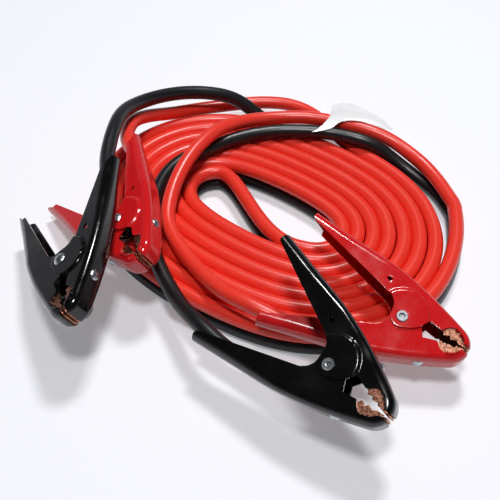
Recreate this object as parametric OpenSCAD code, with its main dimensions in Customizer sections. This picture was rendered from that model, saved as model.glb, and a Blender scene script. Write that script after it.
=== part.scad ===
// Heavy-duty booster cables: a twin lead of one red and one black conductor,
// doubled and wound flat, with a spring clamp on each of its four ends.
// Millimetres, Z up, standing on z = 0.

/* [Cable] */
// Outside diameter of one insulated conductor
cable_d = 12; // [10:0.5:13]
// Corners of the free leads' cross-section
lead_sides = 10; // [8:1:12]

/* [Coil] */
// Clear gap between neighbouring turns, and between the two layers
turn_gap = 0.6; // [0.6:0.1:1.5]
// Half length of the oval that the turns are wound round
oval_long = 50; // [44:1:60]
// Half width of that oval
oval_short = 10; // [8:1:14]
// Distance from the oval to the middle of the first turn
first_turn = 23; // [21:1:30]
// Turn of the oval's long axis
oval_lean = -36; // [-45:1:-30]
// Middle of the coil, from left to right
coil_x = 31; // [20:1:40]
// Middle of the coil, from front to back
coil_y = 93; // [80:1:100]
// How far the outermost loop hangs out loose
loose_loop = 12.4; // [0:0.2:14]
// Depth of the flat where the lower conductor rests on the ground
rest_flat = 1.2; // [1.0:0.1:1.4]

/* [Clamp sheet steel] */
// Thickness of the pressed sheet
sheet_t = 1.5; // [1.2:0.1:1.8]
// Width of the channel that each half is folded into
clamp_w = 20; // [20:0.5:24]
// Pivot to the tip of the jaws
jaw_len = 52; // [50:1:56]
// Pivot to the end of the handles
handle_len = 90; // [80:1:100]
// Height of the back over the pivot
shoulder_h = 33; // [31:1:36]
// Height of the back at the end of the handle
handle_h = 50.5; // [48:0.5:56]
// Depth of the side plates at the end of the handle
handle_end_depth = 8; // [7:0.5:10]
// Radius of the nose
nose_r = 14.5; // [14:0.5:16]
// Half of the slot between the two noses
lip_gap = 1.6; // [1.4:0.1:2]
// Radius of the ear round the pivot
ear_r = 8; // [7.5:0.5:9]
// Radius of the raised round boss over the ears
boss_r = 18; // [18:0.5:19]
// Distance from the pivot to the middle of that boss
boss_up = 4.5; // [4:0.5:5]
// Width of the channel at the end of the handle
tip_w = 15.6; // [15.4:0.2:18]
// Clearance between the plates of the two halves
plate_gap = 0.3; // [0.25:0.05:0.5]
// Diameter of the hole in the free plate of each half
hang_hole_d = 4; // [3:0.5:5]
// Length of the notch at the end of each handle, in one side plate
notch_len = 9.5; // [8:0.5:12]
// Depth of the side plate that the notch leaves
notch_depth = 5.5; // [5:0.5:7]

/* [Copper jaw liners] */
// Thickness of the copper
copper_t = 1.5; // [1.2:0.1:1.8]
// Clearance between the copper and the steel
copper_gap = 0.2; // [0.15:0.05:0.3]
// Width of the copper strap that carries the current along the handle
strap_w = 8; // [6:0.5:9]

/* [Rivets and springs] */
// Shank diameter of the pivot rivet
pivot_d = 6; // [5:0.5:7]
// Running clearance of the pivot rivet, on the radius
pivot_play = 0.05; // [0.02:0.01:0.09]
// Head diameter of the pivot rivet
pivot_head_d = 10; // [9:0.5:11]
// Height of the pivot rivet's domed head
pivot_head_h = 2.2; // [1.8:0.1:2.6]
// Shank diameter of the jaw rivets
jaw_rivet_d = 4; // [3:0.5:4.5]
// Head diameter of the jaw rivets
jaw_head_d = 8; // [7:0.5:9]
// Height of the jaw rivets' heads
jaw_head_h = 2; // [1.6:0.1:2.4]
// Wire diameter of the torsion spring
wire_d = 2.2; // [1.8:0.1:2.4]
// Middle diameter of the torsion spring's curls
spring_d = 11.6; // [11:0.2:12.4]
// Whole curls of the torsion spring
spring_curls = 4; // [3:1:4]

/* [Label] */
// Thickness of the wrapped label
label_t = 0.6; // [0.4:0.1:1]

/* [Hidden] */

// ---- Where each clamp lies: its pivot's middle, then its turns about X, Y and Z ----
CLAMPS = ["front_red", "front_black", "left_red", "left_black"];
PLACES = [
    [[126, -44, 35.5], [16.5, 8, -27.5]],
    [[73, -98, 53.5], [27, 2, -48.5]],
    [[-77.5, 39.5, 48.5], [209.5, -10.5, -66]],
    [[-111.5, -9.5, 55.5], [213, -3.5, -80.5]]
];

// ---- Where the free leads run, from the coil to the clamps, in the order of CLAMPS ----
ROUTES = [
    [
        [180.5, 135.5, 18], [172, 150.5, 20], [160, 163, 23], [147, 174, 26.7], [132.5, 180.7, 30.1],
        [119, 186.5, 31], [106, 192, 31], [93, 197, 31], [79, 201, 31], [65, 203, 31], [51, 203, 30.5],
        [31, 199, 32], [10, 189, 36], [-12, 165, 44], [-32, 133, 43], [-42, 108, 39],
        [-47, 87, 35], [-48, 65, 31], [-41, 46, 30], [-29, 24, 30], [-14, 2, 32], [2, -18, 36]
    ],
    [
        [180, 131.5, 5], [170, 143.5, 7], [157.5, 153.5, 11.5], [146.3, 160.8, 17.2], [137, 164.6, 23.3],
        [127.5, 167.6, 28.3], [118, 170.5, 30.3], [106, 175, 30.3], [92.5, 179.5, 30.3], [78, 182, 30.3],
        [62, 183, 30.3], [41, 183, 30], [11, 175, 30], [-15, 160, 30], [-41, 142, 30], [-53, 124, 30],
        [-59, 102, 30], [-61, 78, 30], [-60, 54, 30], [-55, 26, 30], [-45, 2, 29], [-33, -22, 30]
    ],
    [
        [107, 182, 17], [99, 195, 17], [92, 207, 17], [84, 220, 17], [74, 231, 17], [60, 239, 18],
        [43, 243, 18], [19, 242.5, 18], [-5, 238, 18], [-31, 230, 20], [-55, 215, 26], [-75, 195, 38],
        [-86, 172, 48]
    ],
    [
        [38, 221, 8], [28, 226, 15], [17, 230, 23], [5, 232, 31], [-14, 230, 38], [-37, 225, 43],
        [-59, 212, 49], [-78, 192, 56], [-90, 166, 65], [-94, 136, 71]
    ]
];

// ---- Colours ----
PAINT = ["#d8262a", "#0c0c0e", "#d8262a", "#0c0c0e"];
RUBBER = ["#f8402f", "#1c1f24"];
COPPER = "#c08060";
ZINC = "#c4c6c8";
SPRING_STEEL = "#26262a";
PAPER = "#f4f4f2";

// ---- Small helpers ----
function unit(v) = v / norm(v);
function left_of(v) = [-v.y, v.x];
function on_circle(r, a) = r * [cos(a), sin(a)];
function lifted(plan, z) = [for (p = plan) [p.x, p.y, z]];
function arc(middle, r, from, to, steps) =
    [for (i = [0:steps]) middle + on_circle(r, from + (to - from) * i / steps)];
function bend(a, b, c, t) = pow(1 - t, 2) * a + 2 * t * (1 - t) * b + t * t * c;
function curve(a, b, c, d, t) =
    pow(1 - t, 3) * a + 3 * t * pow(1 - t, 2) * b + 3 * t * t * (1 - t) * c + pow(t, 3) * d;
function spin_x(p, a) = [p.x, p.y * cos(a) - p.z * sin(a), p.y * sin(a) + p.z * cos(a)];
function spin_y(p, a) = [p.x * cos(a) + p.z * sin(a), p.y, p.z * cos(a) - p.x * sin(a)];
function spin_z(p, a) = [p.x * cos(a) - p.y * sin(a), p.x * sin(a) + p.y * cos(a), p.z];

// The directions in which a path reaches and leaves its point i.
function headings(path, i) =
    let (last = len(path) - 1)
    [unit(path[max(i, 1)] - path[max(i, 1) - 1]),
     unit(path[min(i + 1, last)] - path[min(i + 1, last) - 1])];

// A flat path moved to its left by a distance.
function inset(path, distance) =
    [for (i = [0:len(path) - 1])
        let (h = headings(path, i))
        path[i] + distance * left_of(h[0] + h[1]) / (1 + h[0] * h[1])];

function backwards(path) = [for (i = [len(path) - 1:-1:0]) path[i]];

// A strip between two depths to the left of a flat path.
function strip(path, depth, thickness) =
    concat(inset(path, depth), backwards(inset(path, depth + thickness)));

// One ring of a tube, square to its path, with its first corner at the top.
function ring(path, i, r, sides) =
    let (h = headings(path, i),
         ahead = unit(h[0] + h[1]),
         across = unit(cross(ahead, [0, 0, 1])),
         up = cross(across, ahead))
    [for (k = [0:sides - 1])
        path[i] + r * (cos(360 * k / sides) * up + sin(360 * k / sides) * across)];

// A solid tube along a path, with triangular faces.
module tube(path, r, sides) {
    last = len(path) - 1;
    corners = [for (i = [0:last]) each ring(path, i, r, sides)];
    start_middle = len(corners);
    walls = [
        for (i = [0:last - 1])
            for (k = [0:sides - 1])
                let (next = (k + 1) % sides, here = i * sides, there = here + sides)
                each [[here + k, there + next, here + next], [here + k, there + k, there + next]]
    ];
    start = [for (k = [0:sides - 1]) [start_middle, k, (k + 1) % sides]];
    end = [for (k = [0:sides - 1])
        [start_middle + 1, last * sides + (k + 1) % sides, last * sides + k]];
    polyhedron(concat(corners, [path[0], path[last]]), concat(walls, start, end), convexity = 20);
}

// ---- Coil: a double spiral of curves parallel to one oval, black below and red above ----
cable_r = cable_d / 2;
turn_pitch = cable_d + turn_gap;
lower_z = cable_r - rest_flat;
upper_z = lower_z + turn_pitch;
layer_z = [upper_z, lower_z];

ring_step = 15;         // degrees of bearing between rings
coil_sides = 6;
front_start = 7.5;      // turns out from the first one, front clamps' pair, at bearing 0
left_start = 6.5;       // the same for the left clamps' pair
front_from = 75;        // bearing where the front clamps' pair joins the coil
left_from = [45, 30];   // bearings where the left clamps' red and black join it
bight_from = 1425;      // bearing where the front pair leaves the spiral for the bight
bight_to = 1275;        // bearing where it goes on as the left pair
bight_reach = [26, 42]; // how far the bight's curve carries straight on at its ends
bight_steps = 7;
loose_until = 120;      // bearing by which the loose loop lies close again

// The point of the oval's parallel curve whose outer side faces this bearing.
function parallel_point(bearing, reach) =
    let (u = 90 - bearing - oval_lean,
         h = norm([oval_long * cos(u), oval_short * sin(u)]),
         on_oval = [oval_long * oval_long * cos(u), oval_short * oval_short * sin(u)] / h,
         p = on_oval + on_circle(reach, u))
    [coil_x + p.x * cos(oval_lean) - p.y * sin(oval_lean),
     coil_y + p.x * sin(oval_lean) + p.y * cos(oval_lean)];

function slack(bearing) =
    loose_loop * pow(max(0, loose_until - bearing) / (loose_until - front_from), 2);
function front_pair(bearing) =
    parallel_point(bearing, first_turn + turn_pitch * (front_start - bearing / 180) + slack(bearing));
function left_pair(bearing) =
    parallel_point(bearing, first_turn + turn_pitch * (left_start - bearing / 180));
function clockwise(bearing) = [cos(bearing), -sin(bearing)];

bight_a = front_pair(bight_from);
bight_b = bight_a + bight_reach[0] * clockwise(bight_from);
bight_d = left_pair(bight_to);
bight_c = bight_d + bight_reach[1] * clockwise(bight_to);

front_end = front_pair(front_from) - cable_d * clockwise(front_from);
function left_end(layer) = left_pair(left_from[layer]) - cable_d * clockwise(left_from[layer]);

function coil_plan(layer) = concat(
    [front_end],
    [for (b = [front_from:ring_step:bight_from]) front_pair(b)],
    [for (i = [1:bight_steps - 1]) curve(bight_a, bight_b, bight_c, bight_d, i / bight_steps)],
    [for (b = [bight_to:-ring_step:left_from[layer]]) left_pair(b)],
    [left_end(layer)]
);

// The least clear distance between stretches of one tube that aren't neighbours along it.
function to_stretch(p, a, b) =
    let (d = b - a, t = max(0, min(1, (p - a) * d / (d * d))))
    norm(p - a - t * d);
function least_gap(plan, r) =
    min([
        for (i = [0:len(plan) - 1])
            for (j = [0:len(plan) - 2])
                if (abs(i - j) > 4 && abs(i - j - 1) > 4) to_stretch(plan[i], plan[j], plan[j + 1])
    ]) - 2 * r;

// Cuts off what would reach below the ground.
module standing() {
    difference() {
        children();
        translate([-500, -500, -cable_d]) cube([1000, 1000, cable_d]);
    }
}

module coil(layer) {
    plan = coil_plan(layer);
    echo(coil = layer, least_gap = least_gap(plan, cable_r * cos(180 / coil_sides)));
    color(RUBBER[layer]) standing() tube(lifted(plan, layer_z[layer]), cable_r, coil_sides);
}

// ---- Side view of a clamp half: pivot at the origin, jaw towards +X, back towards +Y ----
handle_tip = [-handle_len, handle_h];
shoulder = [2, shoulder_h];
straight_from = shoulder + 0.37 * (handle_tip - shoulder);
nose = [jaw_len - nose_r, 0];
nose_steps = 6;
back_steps = 10;
rivet_step = 2;         // the stretch of the back that the jaw rivet goes through
scallop_r = 0.585 * nose_r;
handle_corner_r = handle_end_depth / 2;
taper_from = -3 * ear_r;  // where the channel starts to narrow towards the handle's end

nose_arc = arc(nose, nose_r, asin(lip_gap / nose_r), 64, nose_steps);
back = concat(
    nose_arc,
    [for (i = [1:back_steps]) bend(nose_arc[nose_steps], shoulder, straight_from, i / back_steps)],
    [handle_tip]
);
along = unit(handle_tip - straight_from);
inwards = left_of(along);
along_angle = atan2(along.y, along.x);
side_view = concat(
    back,
    arc(handle_tip + (handle_end_depth - handle_corner_r) * inwards - handle_corner_r * along,
        handle_corner_r, along_angle, along_angle + 90, 4),
    ear_r * [[-2.31, 1.85], [-1.81, 1.65], [-1.31, 1.19], [-1.08, 0.69]],
    arc([0, 0], ear_r, 180, 290, 9),
    ear_r * [[1.25, -0.56], [1.81, -0.13]],
    [nose - [1.28 * nose_r, -0.47 * nose_r], nose - [1.1 * scallop_r, -0.53 * scallop_r]],
    arc([nose.x, lip_gap], scallop_r, 155, 0, 8)
);

inner_w = clamp_w - 2 * sheet_t;
face_z = clamp_w / 2 + plate_gap + sheet_t;
pivot_hole_r = pivot_d / 2 + pivot_play;
hang_hole_at = [-19.5, 23.3, 0];

module slab(outline, width) {
    linear_extrude(width, center = true) polygon(outline);
}

// The room of a channel this wide, which narrows towards the handle's end.
module channel(width, end_width) {
    past = handle_len + handle_h;
    slope = (width - end_width) / 2 / (handle_len + taper_from);
    narrow = width / 2 - slope * (past + taper_from);
    rotate([90, 0, 0]) linear_extrude(2 * past, center = true) polygon([
        [-past, -narrow], [taper_from, -width / 2], [past, -width / 2],
        [past, width / 2], [taper_from, width / 2], [-past, narrow]
    ]);
}

// All that lies deeper than this under the back's outer face.
module inside_back(depth, width) {
    slab(concat(
        inset(back, depth),
        [handle_tip + depth * inwards + 10 * along, [-handle_len - 10, -jaw_len],
         [jaw_len - depth, -jaw_len]]
    ), width);
}

// Puts +Z square out of the back where the jaw rivet sits, with z = 0 on the outer face.
rivet_a = back[nose_steps + rivet_step];
rivet_b = back[nose_steps + rivet_step + 1];
module on_back() {
    turn = atan2(rivet_b.y - rivet_a.y, rivet_b.x - rivet_a.x);
    translate((rivet_a + rivet_b) / 2) rotate([0, 0, turn]) rotate([90, 0, 0]) children();
}

module rivet_hole() {
    on_back() cylinder(r = jaw_rivet_d / 2 + pivot_play, h = 16, center = true, $fn = 32);
}

// The notch at the end of the handle, in the plate on the +Z side.
function on_handle(s, depth) = handle_tip - s * along + depth * inwards;
module handle_notch() {
    linear_extrude(clamp_w) polygon([
        on_handle(-1, sheet_t), on_handle(notch_len, notch_depth),
        on_handle(notch_len + 2.5, 2 * handle_end_depth), on_handle(-1, 2 * handle_end_depth)
    ]);
}

// One pressed half: its raised ear is on the +Z side and its flat ear on the -Z side.
// Its notch is on the +Z side too, or on the other one.
module pressed_half(notch_turn) {
    difference() {
        union() {
            difference() {
                intersection() {
                    slab(side_view, clamp_w);
                    channel(clamp_w, tip_w);
                }
                intersection() {
                    inside_back(sheet_t, inner_w);
                    channel(inner_w, tip_w - 2 * sheet_t);
                }
            }
            intersection() {
                translate([0, 0, inner_w / 2])
                    linear_extrude(face_z - inner_w / 2) polygon(side_view);
                translate([0, boss_up, 0]) cylinder(r = boss_r, h = face_z, $fn = 72);
            }
        }
        translate([0, boss_up, 0]) cylinder(r = boss_r - sheet_t, h = face_z - sheet_t, $fn = 72);
        cylinder(r = pivot_hole_r, h = 3 * clamp_w, center = true, $fn = 48);
        translate(hang_hole_at) cylinder(d = hang_hole_d, h = clamp_w, $fn = 32);
        mirror([0, 0, notch_turn]) handle_notch();
        rivet_hole();
    }
}

// ---- Copper liner of a jaw ----
liner_depth = sheet_t + copper_gap;
liner_w = inner_w - 2 * copper_gap;
lip_y = lip_gap / 4;    // half of the slot between the two liners' lips
liner_band = [for (i = [0:nose_steps + rivet_step + 2]) back[i]];
liner_wall = concat(
    inset([for (i = [0:nose_steps + rivet_step]) back[i]], liner_depth),
    [nose - nose_r * [0.52, -0.36], nose - nose_r * [0.43, -0.17], nose - nose_r * [0.15, -0.28],
     nose - nose_r * [0.05, -0.13], nose + nose_r * [0.24, 0.22], nose + nose_r * [0.33, 0.09],
     [jaw_len - liner_depth, lip_y]]
);

module jaw_liner() {
    difference() {
        union() {
            slab(strip(liner_band, liner_depth, copper_t), liner_w);
            slab(liner_wall, liner_w);
        }
        inside_back(liner_depth + copper_t, liner_w - 2 * copper_t);
        rivet_hole();
    }
}

// ---- Cable lug: a barrel on the conductor's end and a strap to the jaw rivet ----
cable_depth = sheet_t + plate_gap + cable_r;
lug_inset = 3 * cable_d; // from the handle's end to the barrel
barrel_len = 15;
barrel_r = 4.5;
strap_depth = liner_depth + copper_t + copper_gap;
strap_path = concat(
    [for (i = [nose_steps + rivet_step:nose_steps + back_steps]) back[i]],
    [on_handle(lug_inset + barrel_len - 2 * barrel_r, 0)]
);

module lug_solid() {
    difference() {
        union() {
            slab(strip(strap_path, strap_depth, copper_t), strap_w);
            translate(handle_tip + cable_depth * inwards - lug_inset * along)
                rotate([0, 0, along_angle + 180]) rotate([0, 90, 0])
                    cylinder(r = barrel_r, h = barrel_len, $fn = 48);
        }
        rivet_hole();
    }
}

// ---- Rivets ----
head_gap = 0.1;         // under the rivets' heads

function dome(r, h, steps) =
    let (sphere_r = (r * r + h * h) / (2 * h), edge = asin(r / sphere_r))
    [for (i = [0:steps]) [sphere_r * sin(edge * i / steps), sphere_r * cos(edge * i / steps) - sphere_r + h]];

// The domed head is on the -Z side and the rolled end on the +Z side.
module pivot_rivet_solid() {
    seat = face_z + head_gap;
    shank_r = pivot_d / 2;
    rotate_extrude($fn = 64) polygon(concat(
        [for (p = dome(pivot_head_d / 2, pivot_head_h, 8)) [p.x, -seat - p.y]],
        [[shank_r, -seat], [shank_r, seat], [shank_r + 1.2, seat], [shank_r + 1.2, seat + 0.6],
         [shank_r + 0.8, seat + 1], [shank_r - 0.6, seat + 1], [shank_r - 1, seat + 0.6],
         [shank_r - 1, seat - 1.2], [0, seat - 1.2]]
    ));
}

// Goes through the steel and this many layers of copper.
module jaw_rivet_solid(layers) {
    shank_r = jaw_rivet_d / 2;
    under = sheet_t + layers * (copper_gap + copper_t) + head_gap;
    on_back() rotate_extrude($fn = 48) polygon(concat(
        [for (p = backwards(dome(jaw_head_d / 2, jaw_head_h, 8))) [p.x, p.y + head_gap / 2]],
        [[0, -under - 1], [shank_r + 1, -under - 1], [shank_r + 1, -under], [shank_r, -under],
         [shank_r, head_gap / 2]]
    ));
}

// ---- Torsion spring round the pivot, with a leg under each back ----
spring_r = spring_d / 2;
curl_pitch = wire_d + 0.55;
leg_end = straight_from + 4 * along + (sheet_t + plate_gap + wire_d / 2) * inwards;
leg_turn = atan2(leg_end.y, leg_end.x) - acos(spring_r / norm(leg_end));
wound = 360 * spring_curls + 2 * leg_turn;
curl_steps = ceil(wound / 45);
spring_h = curl_pitch * wound / 360;
spring_path = concat(
    [[leg_end.x, -leg_end.y, -spring_h / 2]],
    [for (i = [0:curl_steps])
        let (p = on_circle(spring_r, wound * i / curl_steps - leg_turn))
        [p.x, p.y, spring_h * (i / curl_steps - 0.5)]],
    [[leg_end.x, leg_end.y, spring_h / 2]]
);

// ---- Clamps in their places ----
module place(i) {
    translate(PLACES[i][0]) rotate(PLACES[i][1]) children();
}
module other_half() {
    rotate([180, 0, 0]) children();
}
module free_half(i) {
    color(PAINT[i]) place(i) pressed_half(1);
}
module cable_half(i) {
    color(PAINT[i]) place(i) other_half() pressed_half(0);
}
module free_jaw(i) {
    color(COPPER) place(i) jaw_liner();
}
module cable_jaw(i) {
    color(COPPER) place(i) other_half() jaw_liner();
}
module free_rivet(i) {
    color(ZINC) place(i) jaw_rivet_solid(1);
}
module cable_rivet(i) {
    color(ZINC) place(i) other_half() jaw_rivet_solid(2);
}
module pivot_rivet(i) {
    color(ZINC) place(i) pivot_rivet_solid();
}
module lug(i) {
    color(COPPER) place(i) other_half() lug_solid();
}
module spring(i) {
    echo(spring = i, least_gap = least_gap(spring_path, wire_d / 2));
    color(SPRING_STEEL) place(i) tube(spring_path, wire_d / 2, 6);
}

// ---- Free leads: from the coil's ends into the clamps' cable halves ----
// A point this far into a handle from its end, and this much above the conductor's seat.
function in_handle(i, s, lift) =
    let (p = handle_tip + (cable_depth + lift) * inwards - s * along, turn = PLACES[i][1])
    PLACES[i][0] + spin_z(spin_y(spin_x([p.x, -p.y, 0], turn.x), turn.y), turn.z);

function coil_end(i) =
    let (layer = i % 2, end = i < 2 ? front_end : left_end(layer))
    [end.x, end.y, layer_z[layer]];
function end_heading(i) =
    let (h = -clockwise(i < 2 ? front_from : left_from[i % 2]))
    [h.x, h.y, 0];

function lead_path(i) = concat(
    [coil_end(i), coil_end(i) + cable_d * end_heading(i)],
    ROUTES[i],
    [in_handle(i, -6, 5), in_handle(i, 10, 2), in_handle(i, 24, 0), in_handle(i, lug_inset, 0)]
);

module lead(i) {
    color(RUBBER[i % 2]) standing() tube(lead_path(i), cable_r, lead_sides);
}

// ---- Label: one sheet folded over the cords ----
label_over = [
    [[74, 174, 36], [90.5, 177.5, 37], [103, 187, 38.3], [124, 185.5, 38.2], [145, 177, 34]],
    [[82, 179.5, 37.7], [95, 184.5, 38.2], [108, 191, 39.1], [127.5, 188.5, 38.8], [146, 178, 34.9]],
    [[91.5, 193.5, 38.7], [103, 200, 39], [116, 198.5, 38.8], [132, 192.5, 38.1], [146.5, 179.5, 34.6]],
    [[94, 209, 34.5], [106, 213, 34.6], [118.5, 210, 34], [135.5, 199.5, 33.8], [148, 183.5, 32.5]],
    [[96, 223.5, 29], [108.5, 227.5, 29], [121.5, 222.5, 28.5], [139.5, 207, 28], [150, 186.5, 29]]
];

module label_sheet() {
    rows = len(label_over);
    columns = len(label_over[0]);
    upper = [for (row = label_over) each row];
    lower = [for (p = upper) p - [0, 0, label_t]];
    under = rows * columns;
    function at(r, c) = r * columns + c;
    faces = concat(
        [for (r = [0:rows - 2]) for (c = [0:columns - 2]) each [
            [at(r, c), at(r + 1, c), at(r + 1, c + 1)], [at(r, c), at(r + 1, c + 1), at(r, c + 1)],
            [under + at(r, c), under + at(r + 1, c + 1), under + at(r + 1, c)],
            [under + at(r, c), under + at(r, c + 1), under + at(r + 1, c + 1)]]],
        [for (c = [0:columns - 2]) each [
            [at(0, c), at(0, c + 1), under + at(0, c + 1)], [at(0, c), under + at(0, c + 1), under + at(0, c)],
            [at(rows - 1, c + 1), at(rows - 1, c), under + at(rows - 1, c)],
            [at(rows - 1, c + 1), under + at(rows - 1, c), under + at(rows - 1, c + 1)]]],
        [for (r = [0:rows - 2]) each [
            [at(r + 1, 0), at(r, 0), under + at(r, 0)], [at(r + 1, 0), under + at(r, 0), under + at(r + 1, 0)],
            [at(r, columns - 1), at(r + 1, columns - 1), under + at(r + 1, columns - 1)],
            [at(r, columns - 1), under + at(r + 1, columns - 1), under + at(r, columns - 1)]]]
    );
    color(PAPER) polyhedron(concat(upper, lower), faces);
}

coil(0);  // red_coil
coil(1);  // black_coil
label_sheet();  // label
for (i = [0:3]) {
    name = CLAMPS[i];
    lead(i);
    cable_half(i);
    free_half(i);
    cable_jaw(i);
    free_jaw(i);
    pivot_rivet(i);
    spring(i);
    cable_rivet(i);
    free_rivet(i);
    lug(i);
}
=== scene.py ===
# %% [markdown]
# # Booster cables, dressed over their CAD frame
# A set of heavy-duty booster cables is a twin lead with a spring clamp on each of
# its four ends. The set lies doubled and wound flat on the ground. This lesson
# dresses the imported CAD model: the cords come first, then the pressed clamps,
# their copper, rivets and springs, the paper label, and last the studio.
#
# The first cell loads the frame. Every size below is in millimetres, as on a
# drawing, and one function turns it into Blender's metres.

# %% Load the frame
import math

import bmesh
import bpy
import numpy as np
from mathutils import Euler, Matrix, Vector


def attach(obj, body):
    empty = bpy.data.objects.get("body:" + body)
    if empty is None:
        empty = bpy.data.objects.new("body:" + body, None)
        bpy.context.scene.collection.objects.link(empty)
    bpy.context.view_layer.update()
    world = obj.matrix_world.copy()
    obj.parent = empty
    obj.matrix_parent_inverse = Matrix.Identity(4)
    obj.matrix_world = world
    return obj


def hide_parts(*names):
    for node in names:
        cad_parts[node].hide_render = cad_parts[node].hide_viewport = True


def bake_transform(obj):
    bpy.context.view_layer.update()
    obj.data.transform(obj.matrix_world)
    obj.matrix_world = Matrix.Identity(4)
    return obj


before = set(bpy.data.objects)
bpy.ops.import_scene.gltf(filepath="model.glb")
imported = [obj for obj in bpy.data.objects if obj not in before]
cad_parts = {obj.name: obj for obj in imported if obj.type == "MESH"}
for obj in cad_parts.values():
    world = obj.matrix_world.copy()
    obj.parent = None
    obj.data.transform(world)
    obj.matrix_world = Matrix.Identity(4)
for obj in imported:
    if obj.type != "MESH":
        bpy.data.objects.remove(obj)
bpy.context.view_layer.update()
MM = 0.001

# %% [markdown]
# ## Camera
# The camera looks down at 46 degrees from 700 mm away, and its view is 33 degrees
# wide, which keeps the far turns of the coil nearly as large as the near ones. It
# aims at the ground, a little on the clamps' side of the coil's middle.

# %% Camera
VIEW_AT = Vector((19, 62, 0)) * MM
VIEW_FROM = Vector((19, -424.3, 503.5)) * MM
VIEW_ANGLE = 33.15

camera = bpy.data.objects.new("camera", bpy.data.cameras.new("camera"))
bpy.context.scene.collection.objects.link(camera)
camera.location = VIEW_FROM
camera.rotation_euler = (VIEW_AT - VIEW_FROM).to_track_quat("-Z", "Y").to_euler()
camera.data.angle = math.radians(VIEW_ANGLE)
bpy.context.scene.camera = camera
print("camera is", round((VIEW_AT - VIEW_FROM).length, 3), "m from its target")

# %% [markdown]
# ## Where the cords run
# Each conductor is one real length of 12 mm cable. It leaves a left clamp, runs
# free to the coil, winds in, turns back in a bight at the middle, winds out between
# its own turns and runs free to a front clamp. The turns are curves parallel to one
# oval, so neighbours keep the same clearance all the way round. The black conductor
# lies on the ground and the red one on top of it.

# %% The coil's rule
CABLE_D = 12.0
TURN_PITCH = CABLE_D + 0.6
OVAL_LONG, OVAL_SHORT, OVAL_LEAN = 50.0, 10.0, math.radians(-36)
COIL_MIDDLE = (31.0, 93.0)
FIRST_TURN = 23.0
LOOSE_LOOP, LOOSE_UNTIL, FRONT_FROM = 12.4, 120.0, 75.0
FRONT_START, LEFT_START = 7.5, 6.5
BIGHT_FROM, BIGHT_TO, BIGHT_REACH, BIGHT_STEPS = 1425.0, 1275.0, (26.0, 42.0), 20
LAYER_Z = {"red": 17.4, "black": 4.8}
LEFT_FROM = {"red": 45.0, "black": 30.0}
RING_STEP = 5.0


def parallel_point(bearing, reach):
    """The point of the oval's parallel curve whose outer side faces this bearing."""
    u = math.radians(90 - bearing) - OVAL_LEAN
    h = math.hypot(OVAL_LONG * math.cos(u), OVAL_SHORT * math.sin(u))
    x = OVAL_LONG**2 * math.cos(u) / h + reach * math.cos(u)
    y = OVAL_SHORT**2 * math.sin(u) / h + reach * math.sin(u)
    return np.array((
        COIL_MIDDLE[0] + x * math.cos(OVAL_LEAN) - y * math.sin(OVAL_LEAN),
        COIL_MIDDLE[1] + x * math.sin(OVAL_LEAN) + y * math.cos(OVAL_LEAN),
    ))


def clockwise(bearing):
    return np.array((math.cos(math.radians(bearing)), -math.sin(math.radians(bearing))))


def front_pair(bearing):
    slack = max(0.0, LOOSE_UNTIL - bearing) / (LOOSE_UNTIL - FRONT_FROM)
    reach = FIRST_TURN + TURN_PITCH * (FRONT_START - bearing / 180) + LOOSE_LOOP * slack**2
    return parallel_point(bearing, reach)


def left_pair(bearing):
    return parallel_point(bearing, FIRST_TURN + TURN_PITCH * (LEFT_START - bearing / 180))


def coil_line(layer):
    """The middle line of one layer, from its front end to its left end."""
    a, d = front_pair(BIGHT_FROM), left_pair(BIGHT_TO)
    b = a + BIGHT_REACH[0] * clockwise(BIGHT_FROM)
    c = d + BIGHT_REACH[1] * clockwise(BIGHT_TO)
    start, end = FRONT_FROM, LEFT_FROM[layer]
    plan = [front_pair(start) - CABLE_D * clockwise(start)]
    plan += [front_pair(x) for x in np.arange(start, BIGHT_FROM + 1, RING_STEP)]
    for t in np.linspace(0, 1, BIGHT_STEPS)[1:-1]:
        plan.append((1 - t)**3 * a + 3 * t * (1 - t)**2 * b + 3 * t * t * (1 - t) * c + t**3 * d)
    plan += [left_pair(x) for x in np.arange(BIGHT_TO, end - 1, -RING_STEP)]
    plan.append(left_pair(end) - CABLE_D * clockwise(end))
    return [np.array((p[0], p[1], LAYER_Z[layer])) for p in plan]
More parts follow.
